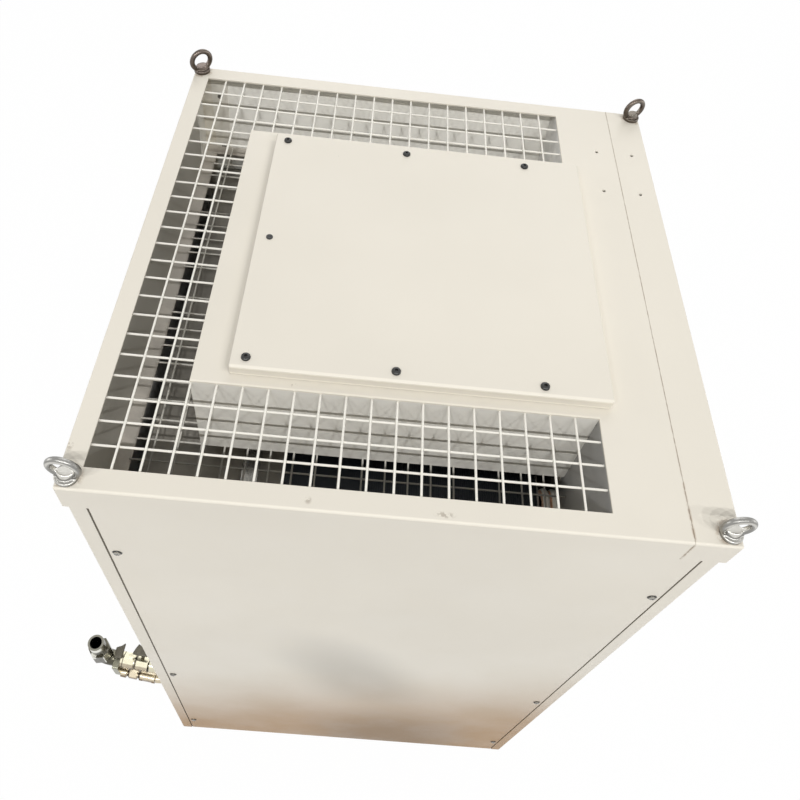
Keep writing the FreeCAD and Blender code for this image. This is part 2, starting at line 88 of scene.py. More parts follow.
def length_of(name, text, default):
    return FloatProperty(name=name, description=text, default=default, min=0.0,
                         unit="LENGTH", subtype="DISTANCE", precision=4)


def colour_of(name, text, default):
    return FloatVectorProperty(name=name, description=text, default=default, size=3,
                               min=0.0, max=1.0, subtype="COLOR")


class CoolerSizes(bpy.types.PropertyGroup):
    """Sizes of the pieces that are modelled here, in metres."""
    pitch: length_of("Mesh pitch", "Spacing of the welded wires", 0.025)
    lap: length_of("Mesh lap", "How far the top wires run in under the rim", 0.007)
    guard_lap: length_of("Guard lap", "How far the lower wires run over their ledges", 0.009)
    wire: length_of("Mesh wire", "Diameter of the top wires", 0.0024)
    guard_wire: length_of("Guard wire", "Diameter of the lower wires", 0.0021)
    weld: length_of("Weld", "How far two wires sink into each other", 0.0004)
    lid_bolt: length_of("Lid bolt", "Head diameter of the lid's bolts", 0.0094)
    lid_screw: length_of("Lid screw", "Head diameter of the flat screw in the lid", 0.0075)
    ledge: length_of("Ledge", "Width of the strips below the guard", 0.017)
    panel_screw: length_of("Panel screw", "Head diameter of the panels' screws", 0.0085)
    fin_pitch: length_of("Fin pitch", "Spacing of the coil's fins", 0.0025)
    fin_sheet: length_of("Fin sheet", "Thickness of one fin", 0.0008)
    fin_depth: length_of("Fin depth", "How deep the gaps between the fins show", 0.0012)


class CoolerColours(bpy.types.PropertyGroup):
    """Base colours of the finishes."""
    coat: colour_of("Coat", "Cream powder coat", (0.80, 0.755, 0.66))
    # painted light: the well's coat, paler and greyer than the coat outside, stands in for the
    # light in the well
    well_painted_light: colour_of("Coat in the well", "The coat where dust greys it", (0.88, 0.86, 0.80))
    # painted light: colour of the warm floor reflection painted low on the panels
    painted_light: colour_of("Warm tint", "Tint of the coat low on the panels", (0.40, 0.245, 0.11))
    mesh: colour_of("Mesh", "Powder coat of the wires", (0.90, 0.875, 0.80))
    shade: colour_of("Grey coat", "Matt coat deep in the well", (0.31, 0.29, 0.255))
    ledge: colour_of("Ledge", "Dusty coat of the strips below the guard", (0.58, 0.54, 0.48))
    wall: colour_of("Grey wall", "Matt coat of the wall beside the well", (0.88, 0.87, 0.845))
    zinc: colour_of("Zinc", "Galvanised sheet", (0.50, 0.49, 0.46))
    bright: colour_of("Bright zinc", "Plated steel", (0.52, 0.515, 0.50))
    # painted reflection: the ring darker than its plating, for the dark reflections it shows
    ring: colour_of("Ring", "Forged ring in the shade of its plating", (0.29, 0.285, 0.27))
    # painted highlight on the saddle and collar
    saddle: colour_of("Saddle", "Where the plating shines", (0.84, 0.82, 0.76))
    dark: colour_of("Dark steel", "Oiled forging", (0.125, 0.103, 0.086))
    fins: colour_of("Fins", "Coated fins", (0.026, 0.032, 0.040))
    copper: colour_of("Copper", "Drawn tube", (0.95, 0.64, 0.46))
    nickel: colour_of("Nickel", "Plated fittings", (0.70, 0.66, 0.50))
    brass: colour_of("Brass", "Pale fittings", (0.62, 0.54, 0.40))
    handle: colour_of("Handle", "Dark moulded wing", (0.105, 0.096, 0.072))
    rubber: colour_of("Rubber", "Joint and grommets", (0.020, 0.019, 0.018))
    rust: colour_of("Rust", "Rust and sealant in the seam", (0.34, 0.24, 0.15))


def sizes():
    return bpy.context.scene.cooler_sizes


def colours():
    return bpy.context.scene.cooler_colours


# Shader nodes as expressions

class Value:
    """A node's output, with the sums that the finishes need."""

    def __init__(self, finish, socket):
        self.finish = finish
        self.socket = socket

    def math(self, operation, other, swapped=False):
        first, second = (other, self) if swapped else (self, other)
        return self.finish.node("ShaderNodeMath", {"operation": operation},
                                {0: first, 1: second})

    def __add__(self, other):
        return self.math("ADD", other)

    __radd__ = __add__

    def __sub__(self, other):
        return self.math("SUBTRACT", other)

    def __rsub__(self, other):
        return self.math("SUBTRACT", other, swapped=True)

    def __mul__(self, other):
        return self.math("MULTIPLY", other)

    __rmul__ = __mul__

    def __truediv__(self, other):
        return self.math("DIVIDE", other)

    def __pow__(self, other):
        return self.math("POWER", other)

    def high(self, other):
        return self.math("MAXIMUM", other)

    def size(self):
        return self.math("ABSOLUTE", 0.0)


class Finish:
    """One material and the nodes that make it."""

    def __init__(self, name, base, rough, metallic=0.0, specular=0.5):
        self.material = bpy.data.materials.new(name)
        self.material.use_nodes = True
        self.material.diffuse_color = (*base, 1.0)
        self.tree = self.material.node_tree
        self.shader = self.tree.nodes["Principled BSDF"]
        for socket, value in (("Base Color", (*base, 1.0)), ("Roughness", rough),
                              ("Metallic", metallic), ("Specular IOR Level", specular)):
            self.shader.inputs[socket].default_value = value
        self.place = self.node("ShaderNodeTexCoord", out="Object")
        apart = self.tree.nodes.new("ShaderNodeSeparateXYZ")
        self.tree.links.new(self.place.socket, apart.inputs[0])
        self.x, self.y, self.z = (Value(self, s) for s in apart.outputs)

    def node(self, kind, settings=None, values=None, out=0):
        made = self.tree.nodes.new(kind)
        for key, value in (settings or {}).items():
            setattr(made, key, value)
        for key, value in (values or {}).items():
            if isinstance(value, Value):
                self.tree.links.new(value.socket, made.inputs[key])
            else:
                made.inputs[key].default_value = value
        return Value(self, made.outputs[out])

    def at(self, x=1.0, y=1.0, z=1.0):
        """Object coordinates stretched by a factor on each axis."""
        return self.node("ShaderNodeMapping", {}, {"Vector": self.place, "Scale": (x, y, z)})

    def noise(self, scale, detail=3.0, vector=None, rough=0.5):
        return self.node("ShaderNodeTexNoise", {},
                         {"Vector": vector or self.place, "Scale": scale,
                          "Detail": detail, "Roughness": rough})

    def cells(self, scale, out="Distance"):
        return self.node("ShaderNodeTexVoronoi", {}, {"Vector": self.place, "Scale": scale}, out)

    def ramp(self, value, low, high):
        """0 at low, 1 at high, smooth between."""
        return self.node("ShaderNodeMapRange", {"interpolation_type": "SMOOTHSTEP"},
                         {"Value": value, "From Min": low, "From Max": high})

    def band(self, value, rise, fall):
        """Rises from 0 to 1 between the ends of rise and falls to 0 between those of fall."""
        return self.ramp(value, *rise) * self.ramp(value, fall[1], fall[0])

    def blend(self, share, first, second):
        colour = self.tree.nodes.new("ShaderNodeMix")
        colour.data_type = "RGBA"
        for socket, value in ((colour.inputs[0], share), (colour.inputs[6], first),
                              (colour.inputs[7], second)):
            if isinstance(value, Value):
                self.tree.links.new(value.socket, socket)
            elif isinstance(value, float):
                socket.default_value = value
            else:
                socket.default_value = (*value, 1.0)
        return Value(self, colour.outputs[2])

    def set(self, **values):
        names = {"base": "Base Color", "rough": "Roughness", "metallic": "Metallic"}
        for key, value in values.items():
            self.tree.links.new(value.socket, self.shader.inputs[names[key]])
        return self

    def bump(self, height, strength, distance):
        normal = self.node("ShaderNodeBump", {},
                           {"Height": height, "Strength": strength, "Distance": distance},
                           "Normal")
        self.tree.links.new(normal.socket, self.shader.inputs["Normal"])
        return self


def middle(node):
    """The middle of a node's box."""
    low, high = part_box(node)
    return (low + high) / 2


def tinted(colour, share):
    return tuple(min(1.0, c * share) for c in colour)


# Places on the finishes, in metres
NEAR_SIDE = (-0.290, -0.300)  # along Y, from the sides' painted light to the near side's
WARM_REFLECTION = (0.60, 0.17)  # heights at which the painted warm reflection starts and is full
SHADOW_CLOUD = (0.155, 0.43), (0.12, 0.27)  # centre and half size
BROWN_SHADE_CLOUD = (0.08, 0.04), (0.20, 0.29)
JOINT = (0.0172, 0.0176), (0.0204, 0.0209)  # in from a post's outer face
JOINT_DEPTH = 0.0028, 0.0019
SKIN = 0.0011, 0.0006  # below a panel's outer face, where its inner face's finish starts
WELL_HEIGHT = 0.60, 0.66
ELBOW_AXIS = 0.0185  # from the elbow's left end
RIM_MARKS = (((-0.0858, -0.2999), (0.004, 0.005)), ((0.0351, -0.3027), (0.012, 0.004)),
             ((-0.1100, -0.1835), (0.009, 0.003)), ((-0.3010, -0.2660), (0.004, 0.010)),
             ((-0.3010, 0.0930), (0.003, 0.006)))  # centres and half sizes
EDGE_HIGHLIGHT = 1.14  # how much paler the coat is painted where an edge catches the light: painted highlight


def highest(masks):
    """1 wherever one of the masks is."""
    return functools.reduce(Value.high, masks)


def patch(finish, across, up, centre, size, ragged=0.35):
    """1 in a soft round patch of two coordinates, with a ragged edge."""
    away = (((across - centre[0]) / size[0]) ** 2.0 + ((up - centre[1]) / size[1]) ** 2.0) ** 0.5
    return finish.ramp(away + ragged * (finish.noise(9.0, 4.0) - 0.5), 1.0, 0.25)


def coat_finish(name, painted_light, coat=None):
    """Powder coat: faint orange peel, cloudy gloss and soft specks of dirt, and on the panels
    painted light: a warm reflection low down, a grey painted shadow and a brown painted shade.
    """
    c = colours()
    coat = coat or c.coat
    f = Finish(name, coat, 0.42, specular=0.45)
    cloud = f.noise(2.6, 4.0)
    dust = f.noise(9.0, 6.0, rough=0.6)
    base = f.blend(f.ramp(cloud, 0.35, 0.7), tinted(coat, 0.975), tinted(coat, 1.03))
    if painted_light:
        near = f.ramp(f.y, *NEAR_SIDE)
        # painted shadow: a soft grey cloud on the near panel
        grey = patch(f, f.x + 0.35 * f.z, f.z, *SHADOW_CLOUD)
        base = f.blend(grey * near * 0.52, base, tinted(c.coat, 0.50))
        # painted reflection: a warm tan low on the panels, as from the floor
        warm_reflection = f.ramp(f.z + 0.16 * cloud - 0.30 * f.x * near, *WARM_REFLECTION)
        base = f.blend(warm_reflection * (0.25 + 0.75 * near), base, c.painted_light)
        # painted shade: a darker brown cloud low on the near panel
        brown_shade = patch(f, f.x, f.z, *BROWN_SHADE_CLOUD)
        base = f.blend(brown_shade * near * 0.72, base, tinted(c.painted_light, 0.50))
    specks = f.cells(38.0)
    spot = f.ramp(specks, 0.030, 0.018) * f.ramp(dust, 0.50, 0.62)
    base = f.blend(spot * 0.55, base, SPECK)
    f.set(base=base, rough=0.36 + 0.14 * f.ramp(dust, 0.3, 0.7))
    peel = f.noise(900.0, 2.0) + 0.5 * f.noise(260.0, 2.0)
    return f.bump(peel, 0.10, 0.0004)


def over(finish, share, colour):
    """Lays a second colour over what a finish has already."""
    old = finish.shader.inputs["Base Color"].links[0].from_socket
    return finish.set(base=finish.blend(share, Value(finish, old), colour))


def post_finish(name):
    """The posts' coat, dark in the narrow joint beside each panel with dirt and painted shade,
    and paler on their faces in the well as painted light.
    """
    f = coat_finish(name, True)
    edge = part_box("post_near_left")[0]
    joint_dirt_and_shade = []
    # dirt and painted shade in the narrow joint beside each panel
    for across, face, a, b in ((f.x, f.y, edge.x, edge.y), (f.y, f.x, edge.y, edge.x)):
        line = f.band(-a - across.size(), *JOINT)
        joint_dirt_and_shade.append(line * f.ramp(face.size(), *(-b - depth for depth in JOINT_DEPTH)))
    # painted light: the posts' faces in the well take the well's paler coat
    inner = f.ramp(f.x.size().high(f.y.size()), 0.3042, 0.3036)
    over(f, inner * f.ramp(f.z, *WELL_HEIGHT), colours().well_painted_light)
    return over(f, highest(joint_dirt_and_shade) * 0.85, JOINT_DIRT_AND_SHADE)


def panel_finish(name):
    """The panels' coat: the left panel's face in the air well darker and greyer above the shelf
    as painted shade and pale below it as painted light, the far panel's face there paler as
    painted light.
    """
    f = coat_finish(name, True)
    face = -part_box("panel_left")[0].x
    inner = f.ramp(f.x.size(), face - SKIN[1], face - SKIN[0]) * f.ramp(f.x, -0.27, -0.28)
    inner = inner * f.ramp(f.y.size(), 0.2915, 0.2905)
    dust = f.noise(14.0, 5.0, rough=0.6)
    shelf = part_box("guard_ledges")[0].z
    well_shade_and_light = f.blend(f.ramp(f.z, shelf, shelf - 0.01), WELL_WALL_SHADE, WELL_FOOT_LIGHT)
    # painted shade on the left panel's face in the well above the shelf, painted light below it
    over(f, inner * (0.80 + 0.15 * dust), well_shade_and_light)
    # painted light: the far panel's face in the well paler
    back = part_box("panel_far")[1].y
    wall = f.band(f.y, (0.27, 0.28), (back - SKIN[0], back - SKIN[1]))
    return over(f, wall * f.ramp(f.x.size(), 0.299, 0.297), FAR_WALL_LIGHT)


def seam_finish(name):
    """The top's coat, with the fine rusty line of the seam, the dirt round the eyes and small
    marks, a painted highlight along its near fold and the island's near rim, and painted shade
    beside the lid's left side.
    """
    c = colours()
    f = coat_finish(name, False)
    seam = (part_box("top_plate")[1].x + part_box("top_strip")[0].x) / 2
    worn = f.noise(300.0, 4.0, f.at(1.0, 0.5, 1.0))
    near = f.ramp(f.y, -0.20, -0.30)
    line = f.ramp((f.x - seam).size(), 0.0011 + 0.0010 * near, 0.0003)
    line = line * f.ramp(worn, 0.30, 0.62) * (0.55 + 0.45 * near)
    spread = f.noise(150.0, 5.0, rough=0.65)
    rings = []
    for eye in EYES:
        centre = middle("eye_" + eye)
        reach = ((f.x - centre.x) ** 2.0 + (f.y - centre.y) ** 2.0) ** 0.5
        rings.append(f.ramp(reach + 0.012 * (spread - 0.5), 0.0165, 0.0115))
    low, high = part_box("top_plate")
    face = f.ramp(f.z, high.z - 0.0025, high.z - 0.0001)
    dirt = highest(rings) * f.ramp(spread, 0.42, 0.60) * face
    over(f, (line * 0.7).high(dirt * 0.6), c.rust)
    # painted highlight along the near fold of the top and the island's near rim
    fold = f.ramp(f.y, low.y + 0.0026, low.y + 0.0016)
    fold = fold * f.ramp(f.z, high.z - 0.0029, high.z - 0.0021)
    rim = f.ramp((f.y + opening()[3] - 0.0008).size(), 0.0014, 0.0009)
    low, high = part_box("terminal_box")
    rim = rim * f.band(f.x, (low.x - 0.001, low.x), (high.x, high.x + 0.001))
    over(f, fold.high(rim * 0.8), tinted(c.coat, EDGE_HIGHLIGHT))
    # painted shade on the island beside the lid's left side
    low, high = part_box("terminal_lid")
    foot = f.band(f.x, (low.x - 0.011, low.x - 0.004), (low.x, low.x + 0.001))
    over(f, foot * f.ramp(f.y.size(), high.y + 0.002, high.y - 0.004), tinted(c.coat, 0.86))
    marks = highest([patch(f, f.x, f.y, centre, size, 0.2) for centre, size in RIM_MARKS])
    return over(f, marks * f.ramp(spread, 0.50, 0.56) * face * 0.5, MARK)


def box_finish(name):
    """The box's coat, the well's paler coat as painted light, darker towards its foot as painted
    shade.
    """
    c = colours()
    f = coat_finish(name, False, c.well_painted_light)
    low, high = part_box("terminal_box")
    # painted shade: darker towards the box's foot
    return over(f, f.ramp(f.z, high.z - 0.02, low.z) * 0.35, tinted(c.well_painted_light, 0.55))


def lid_finish(name):
    """The lid's coat, with a painted highlight along its near edge and its foot and painted shade
    on its left side.
    """
    c = colours()
    f = coat_finish(name, False)
    low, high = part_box("terminal_lid")
    # painted highlight along the lid's near top edge and its foot
    edge = f.ramp(f.y, low.y + 0.0040, low.y + 0.0028)
    edge = edge * f.ramp(f.z, high.z - 0.0026, high.z - 0.0018)
    foot = f.ramp(f.z, low.z + 0.0024, low.z + 0.0016)
    over(f, edge.high(foot), tinted(c.coat, EDGE_HIGHLIGHT))
    # painted shade on the lid's left side
    return over(f, f.ramp(f.x, low.x + 0.0012, low.x + 0.0004), tinted(c.coat, 0.74))


def wire_finish(name, share, near):
    """Coated wire, a little duller in patches, darker on its near arm as painted shade."""
    c = colours()
    f = Finish(name, tinted(c.mesh, share), 0.45)
    cloud = f.noise(14.0, 4.0)
    f.set(base=f.blend(f.ramp(cloud, 0.35, 0.72), tinted(c.mesh, share),
                       tinted(c.mesh, share * 0.9)),
          rough=0.38 + 0.2 * cloud)
    # painted shade: the near arm darker, where the near rim's shadow falls
    over(f, f.ramp(f.y, -0.180, -0.205), tinted(c.mesh, near))
    return f.bump(f.noise(1400.0, 2.0), 0.12, 0.0003)


def zinc_finish(name):
    """Galvanised sheet with its spangle."""
    c = colours()
    f = Finish(name, c.zinc, 0.45, metallic=0.7)
    grey = f.node("ShaderNodeSeparateColor", {}, {0: f.cells(85.0, "Color")})
    f.set(base=f.blend(grey, tinted(c.zinc, 0.86), tinted(c.zinc, 1.16)),
          rough=0.38 + 0.22 * grey)
    return f.bump(f.noise(300.0, 3.0), 0.08, 0.0003)


def wall_finish(name):
    """The wall right of the well, darker on its near half and towards its foot as painted shade.
    """
    c = colours()
    f = grey_finish(name, c.wall)
    # painted shade: darker on the near half and towards the foot
    over(f, f.ramp(f.y, 0.02, -0.02), tinted(c.wall, 0.43))
    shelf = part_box("guard_ledges")[1].z
    return over(f, f.ramp(f.z, shelf + 0.05, shelf - 0.03) * 0.8, tinted(c.wall, 0.20))


def grey_finish(name, colour):
    """Matt grey sheet in the depth of the well, with dust."""
    f = Finish(name, colour, 0.6)
    dust = f.noise(22.0, 6.0, rough=0.65)
    f.set(base=f.blend(f.ramp(dust, 0.4, 0.7), tinted(colour, 0.85), tinted(colour, 1.12)),
          rough=0.5 + 0.25 * dust)
    return f.bump(f.noise(500.0, 2.0), 0.1, 0.0003)


def plated_finish(name, colour, rough, stain, stain_colour):
    """Plated or drawn metal: fine turning marks, duller and stained in patches."""
    f = Finish(name, colour, rough, metallic=1.0)
    marks = f.noise(2200.0, 2.0)
    share = f.ramp(f.noise(95.0, 5.0, rough=0.62), 0.46, 0.68) * stain
    f.set(base=f.blend(share, colour, stain_colour),
          rough=rough * (0.75 + 0.5 * marks) + 0.25 * share)
    return f.bump(marks + 2.0 * f.noise(320.0, 3.0), 0.12, 0.0002)


def row_place(finish):
    """Distances along the leaning row of fittings and, towards the far side and up, across it."""
    centre = middle("upper_nipple")
    lean = math.radians(ROW_LEAN)
    x, y = finish.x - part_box("upper_nipple")[0].x, finish.y - centre.y
    along = x * math.cos(lean) - y * math.sin(lean)
    across = y * math.cos(lean) + x * math.sin(lean)
    return along, across + 0.26 * (finish.z - centre.z)


def fitting_finish(name, colour, under, edge, rims):
    """Plated fitting: pale above, darker and browner below its middle, dark in the joints at
    rims.
    """
    f = plated_finish(name, colour, 0.26, 0.4, tinted(colour, 0.55))
    along, across = row_place(f)
    ragged = across + 0.002 * (f.noise(160.0, 4.0) - 0.5)
    over(f, f.ramp(ragged, edge + 0.0006, edge - 0.0006) * 0.9, under)
    for rim, half in rims:
        over(f, f.ramp((along - rim).size(), half + 0.0005, half) * 0.9, tinted(under, 0.22))
    return f


def block_finish(name):
    """Olive-grey block, dark brown and mottled on its far half where the handle stands, a painted
    shadow.
    """
    f = plated_finish(name, BLOCK, 0.34, 0.3, BLOCK_STAIN)
    mottle = row_place(f)[1] + 0.003 * (f.noise(330.0, 4.0) - 0.5)
    # painted shadow of the elbow and the wing on the block's far half
    return over(f, f.ramp(mottle, -0.0012, 0.0004) * 0.92, BLOCK_FAR_SHADOW)


def elbow_finish(name):
    """Plated elbow: painted highlights in a crescent under its mouth and on two flats of its nut,
    and painted shade on the near side of its neck.
    """
    f = plated_finish(name, ELBOW, 0.24, 0.5, tinted(ELBOW, 0.45))
    low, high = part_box("elbow")
    x, y = f.x - (low.x + ELBOW_AXIS), f.y - (low.y + high.y) / 2
    down = high.z - f.z
    over(f, f.ramp(down, 0.0009, 0.0004) * 0.75, ELBOW_MOUTH)
    # painted highlight in a crescent under the mouth
    lip = f.band(down, (0.0004, 0.0009), (0.0110, 0.0125))
    over(f, lip * f.ramp(y + 0.25 * x, -0.0030, -0.0075) * 0.9, ELBOW_HIGHLIGHT)
    # painted shade on the near side of the neck
    over(f, f.ramp(down, 0.0155, 0.0165) * f.ramp(y, -0.002, -0.006) * 0.85, ELBOW_NECK_SHADE)
    # painted highlights on two flats of the nut
    right = f.ramp((x - 0.0125).size(), 0.0034, 0.0026) * f.ramp(y, 0.000, -0.002)
    right = right * f.band(down, (0.0315, 0.0325), (0.0625, 0.0640))
    left = f.ramp((x + 0.0065).size(), 0.0052, 0.0042) * f.ramp(y, -0.004, -0.006)
    left = left * f.ramp((down - 0.0335).size(), 0.0052, 0.0042)
    return over(f, right.high(left) * 0.85, ELBOW_HIGHLIGHT)


def copper_finish(name):
    """Drawn copper pipes with a pale painted highlight along their tops."""
    c = colours()
    f = plated_finish(name, c.copper, 0.3, 0.4, tinted(c.copper, 0.5))
    low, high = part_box("coil_crossovers")
    across = ((f.x - (low.x + high.x) / 2).size() - (high.x - low.x - 0.010) / 2).size()
    # painted highlight: pale and less metallic along the pipes' tops
    painted_highlight = f.ramp(across, 0.0044, 0.0032) * f.ramp(f.z, high.z - 0.030, high.z - 0.020)
    over(f, painted_highlight, PIPE_HIGHLIGHT)
    return f.set(metallic=0.1 - 0.1 * painted_highlight)


def fin_finish(name):
    """Dark coated fins with dusty upper edges."""
    c = colours()
    f = Finish(name, c.fins, 0.55)
    dust = f.noise(60.0, 5.0, f.at(1.0, 0.3, 1.0), rough=0.6)
    f.set(base=f.blend(f.ramp(dust, 0.5, 0.75) * 0.5, c.fins, tinted(c.fins, 1.8)),
          rough=0.45 + 0.3 * dust)
    return f.bump(dust, 0.1, 0.0004)


def eye_finish(eye):
    """Forged eye: a darker ring, on the near eyes a painted reflection, with painted highlights
    on its saddle and collar and along the ring's upper side.
    """
    c = colours()
    ring = c.dark if eye in FAR_SADDLE_HIGHLIGHTS else c.ring
    saddle = FAR_SADDLE_HIGHLIGHTS.get(eye, c.saddle)
    f = plated_finish("eye_" + eye, ring, 0.30, 0.5, tinted(ring, 0.55))
    low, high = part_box("eye_" + eye)
    lean = math.radians(EYES[eye])
    x, y = f.x - middle("eye_" + eye).x, f.y - middle("eye_" + eye).y
    across = x * math.cos(lean) + y * math.sin(lean)
    depth = y * math.cos(lean) - x * math.sin(lean)
    up = f.z - low.z
    reach = (across ** 2.0 + (up - (high.z - low.z) / 2) ** 2.0) ** 0.5
    core = (high.z - low.z) * 0.3985  # radius of the ring's middle line
    # painted highlight on the saddle and the collar's top
    collar = f.band(up, (0.0030, 0.0038), (0.0044, 0.0052)) * 0.5
    seat_highlight = f.ramp(reach, core - 0.0022, core - 0.0036).high(collar)
    seat_highlight = seat_highlight * f.ramp(up, 0.018, 0.014) * f.ramp(depth, 0.0060, 0.0035)
    over(f, seat_highlight * (0.45 + 0.5 * f.noise(260.0, 4.0)), saddle)
    # painted highlight along the ring's upper side
    painted_glint = f.ramp((reach - core - 0.0006).size(), 0.0016, 0.0006)
    painted_glint = painted_glint * f.ramp(depth, 0.0012, -0.0012) * f.ramp(up, 0.014, 0.024)
    return over(f, painted_glint * 0.6, saddle)


def moulded_finish(name, colour, rough):
    """Moulded plastic or rubber with a fine grain and grey handling marks."""
    f = Finish(name, colour, rough)
    grain = f.noise(1500.0, 2.0)
    marks = f.noise(130.0, 5.0, rough=0.65)
    f.set(base=f.blend(f.ramp(marks, 0.5, 0.72) * 0.45, colour, tinted(colour, 2.4)),
          rough=rough - 0.1 + 0.25 * marks)
    return f.bump(grain, 0.2, 0.0002)


def make_finishes():
    c = colours()
    made = {
        "coat_panel": panel_finish("coat_panel"),
        "coat_post": post_finish("coat_post"),
        "coat_top": seam_finish("coat_top"),
        "coat_lid": lid_finish("coat_lid"),
        "coat_box": box_finish("coat_box"),
        "mesh": wire_finish("mesh_coat", 1.0, 1.0),
        # 0.30: painted shade on the guard's near arm
        "guard": wire_finish("guard_coat", 0.88, 0.30),
        "zinc": zinc_finish("zinc_sheet"),
        "grey": grey_finish("coat_grey", c.shade),
        "wall": wall_finish("coat_wall"),
        "ledge": grey_finish("coat_ledge", c.ledge),
        "bright": plated_finish("zinc_bright", c.bright, 0.26, 0.85, tinted(c.bright, 0.30)),
        "screw": plated_finish("screw_plate", SCREW, 0.24, 0.6, SCREW_STAIN),
        "valve": fitting_finish("upper_valve", c.nickel, VALVE_BELOW, -0.0055,
                                ((-0.0247, 0.0014), (-0.0470, 0.0005), (-0.0010, 0.0010))),
        "coupling": fitting_finish("lower_coupling", c.brass, COUPLING_BELOW, -0.0265,
                                   ((-0.0378, 0.0022), (-0.0182, 0.0022))),
        "block": block_finish("block_plate"),
        "nickel": plated_finish("nickel", c.nickel, 0.26, 0.35, tinted(c.nickel, 0.5)),
        "elbow": elbow_finish("elbow_plate"),
        "brass": plated_finish("brass", c.brass, 0.30, 0.5, tinted(c.brass, 0.5)),
        "copper": copper_finish("copper"),
        "fins": fin_finish("fin_dark"),
        "handle": moulded_finish("handle_dark", c.handle, 0.42),
        "black": moulded_finish("bolt_black", BLACK, 0.36),
        "rubber": moulded_finish("rubber_black", c.rubber, 0.7),
    }
    return made | {"eye_" + eye: eye_finish(eye) for eye in EYES}


NODE_FINISH = {
    "coat_top": ("top_plate", "top_strip"),
    "coat_lid": ("terminal_lid",),
    "coat_box": ("terminal_box",),
    "ledge": ("guard_ledges",),
    "coat_post": ("post_near_left", "post_near_right", "post_far_left", "post_far_right"),
    "coat_panel": ("panel_near", "panel_far", "panel_left", "panel_right"),
    "mesh": ("grille_near", "grille_far", "grille_left"),
    "guard": ("guard_near", "guard_far", "guard_left"),
    "zinc": ("coil_stand_near", "coil_stand_far", "coil_cheeks"),
    "grey": ("coil_deck", "base_tray"),
    "wall": ("partition",),
    "bright": ("coil_rail",),
    "nickel": ("upper_nipple",),
    "valve": ("upper_valve",),
    "block": ("link_block",),
    "elbow": ("elbow",),
    "coupling": ("lower_coupling",),
    "brass": ("lower_nipple",),
    "copper": ("coil_header", "coil_crossovers"),
    "fins": ("coil_fins",),
    "handle": ("valve_handles",),
    "rubber": ("lid_gasket", "pipe_grommets"),
    **{"eye_" + eye: ("eye_" + eye,) for eye in EYES},
}


# Modelling with Blender's own tools

def only(obj):
    """Object mode, with obj alone selected and active."""
    if bpy.context.object and bpy.context.object.mode != "OBJECT":
        bpy.ops.object.mode_set(mode="OBJECT")
    bpy.ops.object.select_all(action="DESELECT")
    if obj:
        obj.select_set(True)
        bpy.context.view_layer.objects.active = obj
    return obj


def added(name):
    """The primitive just added, named, with its place in its mesh."""
    obj = bpy.context.object
    obj.name = name
    obj.data.name = name
    only(obj)
    bpy.ops.object.transform_apply(location=True, rotation=True, scale=True)
    return obj


def cylinder(name, radius, depth, centre, axis="z", sides=32):
    turn = {"x": (0, math.pi / 2, 0), "y": (math.pi / 2, 0, 0), "z": (0, 0, 0)}[axis]
    only(None)
    bpy.ops.mesh.primitive_cylinder_add(vertices=sides, radius=radius, depth=depth,
                                        location=centre, rotation=turn)
    return added(name)


def cube(name, low, high):
    only(None)
    bpy.ops.mesh.primitive_cube_add(size=1.0, location=[(a + b) / 2 for a, b in zip(low, high)],
                                    scale=[b - a for a, b in zip(low, high)])
    return added(name)


def plate(name, outline, low, high):
    """Flat plate between two heights, its corners drawn to an outline seen from above."""
    obj = cylinder(name, 1.0, 1.0, (0, 0, 0), "z", len(outline))
    start = math.atan2(obj.data.vertices[0].co.y, obj.data.vertices[0].co.x)
    for corner in obj.data.vertices:
        turn = (math.atan2(corner.co.y, corner.co.x) - start) / (2 * math.pi)
        x, y = outline[round(turn * len(outline)) % len(outline)]
        corner.co = (x, y, high if corner.co.z > 0 else low)
    return obj


def modified(obj, kind, **settings):
    """Adds a modifier with its settings and applies it."""
    only(obj)
    made = obj.modifiers.new(kind.lower(), kind)
    for key, value in settings.items():
        setattr(made, key, value)
    bpy.ops.object.modifier_apply(modifier=made.name)
    return obj


def combined(obj, tool, operation):
    """The solid with the tool's volume added to it or cut from it."""
    modified(obj, "BOOLEAN", operation=operation, object=tool, solver="EXACT")
    dropped(tool)
    return obj


def editing(obj, kind, test):
    """Edit mode with the faces or corners that pass the test selected."""
    only(obj)
    bpy.ops.object.mode_set(mode="EDIT")
    bpy.ops.mesh.select_mode(type=kind)
    bpy.ops.mesh.select_all(action="DESELECT")
    shape = bmesh.from_edit_mesh(obj.data)
    for part in {"FACE": shape.faces, "VERT": shape.verts}[kind]:
        if test(part):
            part.select_set(True)
    shape.select_flush_mode()
    bmesh.update_edit_mesh(obj.data)


def done_editing():
    bpy.ops.object.mode_set(mode="OBJECT")


def facing(axis, sign, share=0.9):
    """A test for faces that look along one axis."""
    return lambda face: sign * face.normal[axis] > share


def bevelled(obj, width, segments=2):
    modified(obj, "BEVEL", width=width, segments=segments, limit_method="ANGLE",
             angle_limit=math.radians(35.0))
    return smooth(obj)


def smooth(obj, angle=32.0):
    only(obj)
    bpy.ops.object.shade_smooth_by_angle(angle=math.radians(angle))
    return obj


def copied(model, matrix, name="copy"):
    """A copy of the model with its own mesh, placed in the mesh."""
    mesh = model.data.copy()
    mesh.transform(matrix)
    obj = bpy.data.objects.new(name, mesh)
    bpy.context.scene.collection.objects.link(obj)
    return obj


def joined(parts, name):
    only(parts[0])
    for part in parts[1:]:
        part.select_set(True)
    bpy.ops.object.join()
    obj = bpy.context.object
    obj.name = name
    obj.data.name = name
    return obj


def dropped(*models):
    for model in models:
        bpy.data.objects.remove(model)


def kept(obj, finish, slot, *nodes):
    """Finishes a piece: its material, its body and the nodes it stands for. Its slot is not used.
    """
    obj.data.materials.clear()
    obj.data.materials.append(FINISHES[finish].material)
    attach(obj, BODY)
    if nodes:
        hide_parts(*nodes)
    return obj


